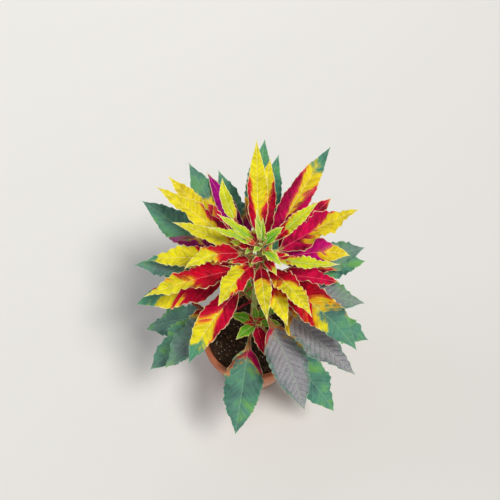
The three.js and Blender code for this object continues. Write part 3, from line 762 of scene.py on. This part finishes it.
def roundedOutline(corners, rounding, step):
    # a polyline with its corners rounded and its long runs divided
    corners = [Vector(corner) for corner in corners]
    points = corners[:1]
    for before, corner, after in zip(corners, corners[1:], corners[2:]):
        reach = min(rounding, (before - corner).length * 0.45, (after - corner).length * 0.45)
        a = corner + (before - corner).normalized() * reach
        b = corner + (after - corner).normalized() * reach
        for k in range(5):
            t = k / 4
            points.append(a * (1 - t) ** 2 + corner * 2 * t * (1 - t) + b * t * t)
    points.append(corners[-1])
    outline = points[:1]
    for a, b in zip(points, points[1:]):
        parts = max(1, round((b - a).length / step))
        outline += [a.lerp(b, (k + 1) / parts) for k in range(parts)]
    return outline


def lathe(name, outline, sides, shift):
    # turns an outline of radii and heights round +Z, with one point where it meets the axis
    points, rings, faces = [], [], []
    for radius, z in outline:
        start = len(points)
        count = 1 if radius < 0.001 else sides
        for k in range(count):
            a = math.tau * k / sides
            points.append(shift(Vector((radius * math.cos(a), radius * math.sin(a), z))))
        rings.append([start + k % count for k in range(sides + 1)])
    for lowRing, highRing in zip(rings, rings[1:]):
        for k in range(sides):
            face = [lowRing[k], lowRing[k + 1], highRing[k + 1], highRing[k]]
            faces.append(list(dict.fromkeys(face)))
    mesh = bpy.data.meshes.new(name)
    mesh.from_pydata(points, [], faces)
    mesh.shade_smooth()
    return mesh


def potMaterial():
    material, node, mix, tint = newMaterial("thrownEarthenware", potColours)
    place = node("TexCoord", give="Object")
    height = node("SeparateXYZ", place, give="Z")
    # patches of 7 cm, grog of about 2 mm, grit of 1.7 mm, and turning lines 2 mm apart
    broad = node("TexNoise", {"Vector": place, "Scale": 0.014 / mm, "Detail": 4})
    fine = node("TexNoise", {"Vector": place, "Scale": 0.42 / mm, "Detail": 4})
    grit = node("TexVoronoi", {"Vector": place, "Scale": 0.6 / mm})
    bands = node("Mapping", {"Vector": place, "Scale": (0.003 / mm, 0.003 / mm, 0.52 / mm)})
    turning = node("TexNoise", {"Vector": bands, "Scale": 1, "Detail": 2})
    colour = mix(node("MapRange", broad + fine * 0.3, 0.5, 0.85, **soft), tint.clay, tint.light)
    colour = mix(node("MapRange", turning, 0.5, 0.75, **soft) * 0.35, colour, tint.dark)
    colour = mix(node("MapRange", grit, 0.3, 0) * 0.25, colour, tint.dark)
    drifted = height + (broad - 0.5) * 0.09 + (turning - 0.5) * 0.012
    colour = mix(node("MapRange", drifted, 0.062, 0.03, **soft) * 0.4, colour, tint.damp)
    bloom = node("MapRange", drifted, 0.02, 0.05, **soft) * node("MapRange", drifted, 0.105, 0.06, **soft)
    dusty = node("MapRange", broad * 0.5 + fine * 0.5, 0.42, 0.62, **soft)
    colour = mix(bloom * dusty * 0.65, colour, tint.bloom)
    relief = turning * 0.6 + fine * 0.5 + grit * 0.3
    return dress(material, colour, 0.78 + fine * 0.16, 1.5, relief, strength=0.5, depth=0.35)


def drainTree():
    # bores a ring of holes through what is fed in
    tree, node, given = newTree("drainHoles", drain, fed=True)
    ring = node("MeshCircle", {"Vertices": given("count"), "Radius": given("ring")})
    size = {"Vertices": given("sides"), "Radius": given("radius"), "Depth": given("depth")}
    spread = {"Points": ring, "Instance": node("MeshCylinder", size)}
    bits = node("RealizeInstances", node("InstanceOnPoints", spread))
    solids = {"Mesh 1": given("Geometry"), "Mesh 2": bits}
    endTree(node, given, node("MeshBoolean", solids, operation="DIFFERENCE", solver="EXACT"))
    return tree


def thrown(point):
    # a hand-thrown wall is never quite round
    out = Vector((point.x, point.y, 0))
    if out.length > 1:
        drift = noise.noise(Vector((point.x, point.y, point.z * 2.2)) * 0.02) - 0.3
        point = point + out.normalized() * pot["wobble"] * drift
    return point


def potPiece():
    height, rim, floor, foot = pot["height"], pot["rimRadius"], pot["floor"], pot["footRadius"]
    collar, heel, draft, cove = height - pot["band"], pot["heel"], pot["draft"], pot["cove"]
    # from the middle of the foot up the wall, round the collar and the lip, and down the inside
    corners = [(0, 0), (foot - heel, 0), (foot, heel), (rim - pot["bandStep"] - draft, collar - 1.5),
               (rim - draft, collar), (rim - 2.4, collar + 3), (rim, height - 5), (rim - 1.6, height - 1),
               (rim - 4.2, height), (innerRadius(height) + 1.4, height - 1),
               (innerRadius(height - cove), height - cove), (innerRadius(floor + cove), floor + cove),
               (innerRadius(floor) - cove, floor), (0, floor)]
    raw = lathe("pot", roundedOutline(corners, pot["rounding"], pot["step"]), pot["sides"], thrown)
    mesh = grow(drainTree(), "pot", drain, potMaterial(), raw)
    mesh.shade_smooth()
    mesh.set_sharp_from_angle(angle=pot["sharp"] * degree)
    piece("clayPot", [mesh], "clay", "pot")
    print("pot:", len(mesh.polygons), "faces")


# Soil: peat mix with bark and perlite, loose from the bag. It gives the eye a dark matt bed of crumbs of a
# few millimetres, with paler chips and white beads.
soil = {"top": 148, "rings": 46, "sides": 160, "shoulder": 1.5, "broadLump": 1.6, "fineLump": 1.3,
        "crumble": 1.1}
tapRoot = [(1, 136), (0.8, 114), (0.45, 88)]  # its radius as a share of the stem's foot, at these heights
rootTipRadius = 1.2
soilColours = {"peat": "#2B1D14", "brown": "#4B3422", "bark": "#6A4630", "barkPale": "#8E6B4A",
               "perlite": "#E4E1D8"}
# one crumb on each so many square mm, how finely it is made, and its least and largest half sizes
crumbs = {
    "peatCrumbs": {"each": 9.0, "faces": 1, "seed": 5, "small": (0.7, 0.7, 0.5), "large": (2.2, 1.9, 1.4)},
    "barkChips": {"each": 130.0, "faces": 1, "seed": 9, "small": (2.2, 1.2, 0.5), "large": (5.5, 2.6, 1.0)},
    "perliteBeads": {"each": 210.0, "faces": 2, "seed": 2, "small": (0.8, 0.8, 0.7), "large": (1.7, 1.6, 1.4)}
}


def soilMaterial(name, dark, light, roughness, darkEnd=0.42):
    material, node, mix, tint = newMaterial(name, soilColours)
    place = node("TexCoord", give="Object")
    draw = node("NewGeometry", give="Random Per Island")
    grain = node("TexNoise", {"Vector": place, "Scale": 0.35 / mm, "Detail": 5})  # of about 3 mm
    broad = node("TexNoise", {"Vector": place, "Scale": 0.04 / mm, "Detail": 2})  # of 25 mm
    shade = node("MapRange", grain * 0.6 + broad * 0.3 + draw * 0.35, darkEnd, 0.85)
    colour = mix(shade, getattr(tint, dark), getattr(tint, light))
    return dress(material, colour, roughness + grain * 0.1, 1.45, grain, strength=0.8, depth=0.6)


def lumpy(point):
    # the top of the soil is uneven, and level again where it meets the stem
    if abs(point.z - soil["top"]) > 0.01:
        return point
    x, y = point.x, point.y
    broad = math.sin(x * 0.11 + 1) * math.cos(y * 0.09 - 0.6)
    fine = math.sin(x * 0.31 + y * 0.17) * math.sin(y * 0.37 - x * 0.12)
    rough = noise.fractal(Vector((x, y, 0)) * 0.16, 0.8, 2.1, 4)
    lump = soil["broadLump"] * broad + soil["fineLump"] * fine + soil["crumble"] * rough
    fade = min(1, (math.hypot(x, y) - stem["footRadius"] - gap) / 3)
    return point + Vector((0, 0, lump * fade))


def crumbTree():
    # bits of one kind strewn over the top that is fed in
    tree, node, given = newTree("soilBits", crumbs["peatCrumbs"], fed=True)
    seed = given("seed")
    spread = {"Mesh": given("Geometry"), "Density": 1 / given("each"), "Seed": seed}
    points = node("DistributePointsOnFaces", spread)
    ball = node("MeshIcoSphere", {"Radius": 1, "Subdivisions": given("faces")})
    lumps = node("TexNoise", {"Vector": node("InputPosition"), "Scale": 1.3}, give="Color") - (0.5, 0.5, 0.5)
    bit = node("SetPosition", {"Geometry": ball, "Offset": lumps * 0.9})
    turn = node("RandomValue", {"Max": (0.9, 0.9, 6.28), "Seed": seed}, data_type="FLOAT_VECTOR")
    size = {"Min": given("small"), "Max": given("large"), "Seed": seed + 1}
    scale = node("RandomValue", size, data_type="FLOAT_VECTOR")
    placed = {"Points": points, "Instance": bit, "Rotation": turn, "Scale": scale}
    endTree(node, given, node("InstanceOnPoints", placed))
    return tree


def soilPieces():
    top, floor, cove = soil["top"], pot["floor"], pot["cove"]
    outer = innerRadius(top) - gap - soil["shoulder"]
    hole = stem["footRadius"] + gap
    # up the pot's wall, in over the top, and down round the tap root
    outline = [(0, floor + gap), (innerRadius(floor) - cove - gap, floor + gap),
               (innerRadius(floor + cove) - gap, floor + cove), (innerRadius(top - cove) - gap, top - cove)]
    surface = [(outer + (hole - outer) * k / soil["rings"], top) for k in range(soil["rings"] + 1)]
    root = [(stem["footRadius"] * share + gap, z) for share, z in tapRoot]
    root += [(rootTipRadius + gap, stem["rootTip"]), (0, stem["rootTip"] - gap)]
    mesh = lathe("soil", outline + surface + root, soil["sides"], lumpy)
    peat = soilMaterial("pottingPeat", "peat", "brown", 0.86)
    mesh.materials.append(peat)
    piece("soilBody", [mesh], "potting_soil", "soil")
    coats = {"peatCrumbs": peat, "barkChips": soilMaterial("pineBark", "bark", "barkPale", 0.75),
             "perliteBeads": soilMaterial("expandedPerlite", "barkPale", "perlite", 0.8, 0.1)}
    group = crumbTree()
    strewn = [(radius, z) for radius, z in surface if hole + 2.5 < radius < outer - 1]
    for name, kind in crumbs.items():
        bits = grow(group, name, kind, coats[name], lathe("soilTop", strewn, soil["sides"], lumpy))
        piece(name, [bits], "potting_soil")
        print(name + ":", len(bits.polygons), "faces")


potPiece()
soilPieces()

# Camera and stage. The tip of the plant is seen at its pixel of a square frame.
view = {"elevation": 60, "distance": 1300, "mmPerPixel": 1.6, "frame": 500, "tipPixel": (261, 246),
        "tip": (12, 0, 492)}
studio = {"floor": "#E4E3E1", "reach": 30, "sky": "#EDEEEF", "horizon": 0.92, "zenith": 0.17,
          "lampHeight": 0.4, "lampDistance": 2.4}  # in metres
# kind, azimuth, elevation, strength, size (radians of a sun, metres of a panel), colour
lamps = {"key": ("SUN", -38, 64, 2.15, 0.3, "#FFFBF4"), "fill": ("AREA", 165, 40, 8, 1.4, "#EEF4FF"),
         "rim": ("AREA", 95, 25, 6, 0.9, "#FFFFFF")}


def camera():
    look, up = toward(90, -view["elevation"]), toward(90, 90 - view["elevation"])
    offX = (view["frame"] / 2 - view["tipPixel"][0]) * view["mmPerPixel"]
    offY = (view["tipPixel"][1] - view["frame"] / 2) * view["mmPerPixel"]
    target = Vector(view["tip"]) + Vector((offX, 0, 0)) + up * offY
    made = link("viewer", bpy.data.cameras.new("viewer"))
    made.data.angle = 2 * math.atan(view["frame"] * view["mmPerPixel"] / 2 / view["distance"])
    made.location = (target - look * view["distance"]) * mm
    made.rotation_euler = look.to_track_quat("-Z", "Y").to_euler()
    bpy.context.scene.camera = made


def paleFloor():
    mesh = bpy.data.meshes.new("studioFloor")
    corners = [(x * studio["reach"], y * studio["reach"], 0) for x, y in ((-1, -1), (1, -1), (1, 1), (-1, 1))]
    mesh.from_pydata(corners, [], [(0, 1, 2, 3)])
    material, _, _, tint = newMaterial("paleBackgroundPaper", {"paper": studio["floor"]})
    mesh.materials.append(dress(material, tint.paper, 0.9, 1.45))
    floor = link("studioFloor", mesh)


def sky():
    # a pale wall of light all round, that falls off overhead so the leaves keep their shading
    world = bpy.data.worlds.new("studio")
    world.use_nodes = True
    node = functools.partial(addNode, world.node_tree)
    upward = node("SeparateXYZ", node("TexCoord", give="Generated"), give="Z")
    glow = node("MapRange", upward, 0.25, 0.7, studio["horizon"], studio["zenith"], **soft)
    background = world.node_tree.nodes["Background"]
    feed(background.inputs["Color"], linear(studio["sky"]))
    feed(background.inputs["Strength"], glow)
    bpy.context.scene.world = world


def lights():
    for name, (kind, azimuth, elevation, strength, size, colour) in lamps.items():
        data = bpy.data.lights.new(name, kind)
        if kind == "SUN":
            data.angle = size
        else:
            data.shape = "DISK"
            data.size = size
        data.energy = strength
        data.color = linear(colour)[:3]
        out = toward(azimuth, elevation)
        made = link(name, data)
        made.location = Vector((0, 0, studio["lampHeight"])) + out * studio["lampDistance"]
        made.rotation_euler = (-out).to_track_quat("-Z", "Y").to_euler()


camera()
paleFloor()
sky()
lights()
bpy.context.scene.view_settings.view_transform = "Standard"  # keeps the leaves' own strong colours
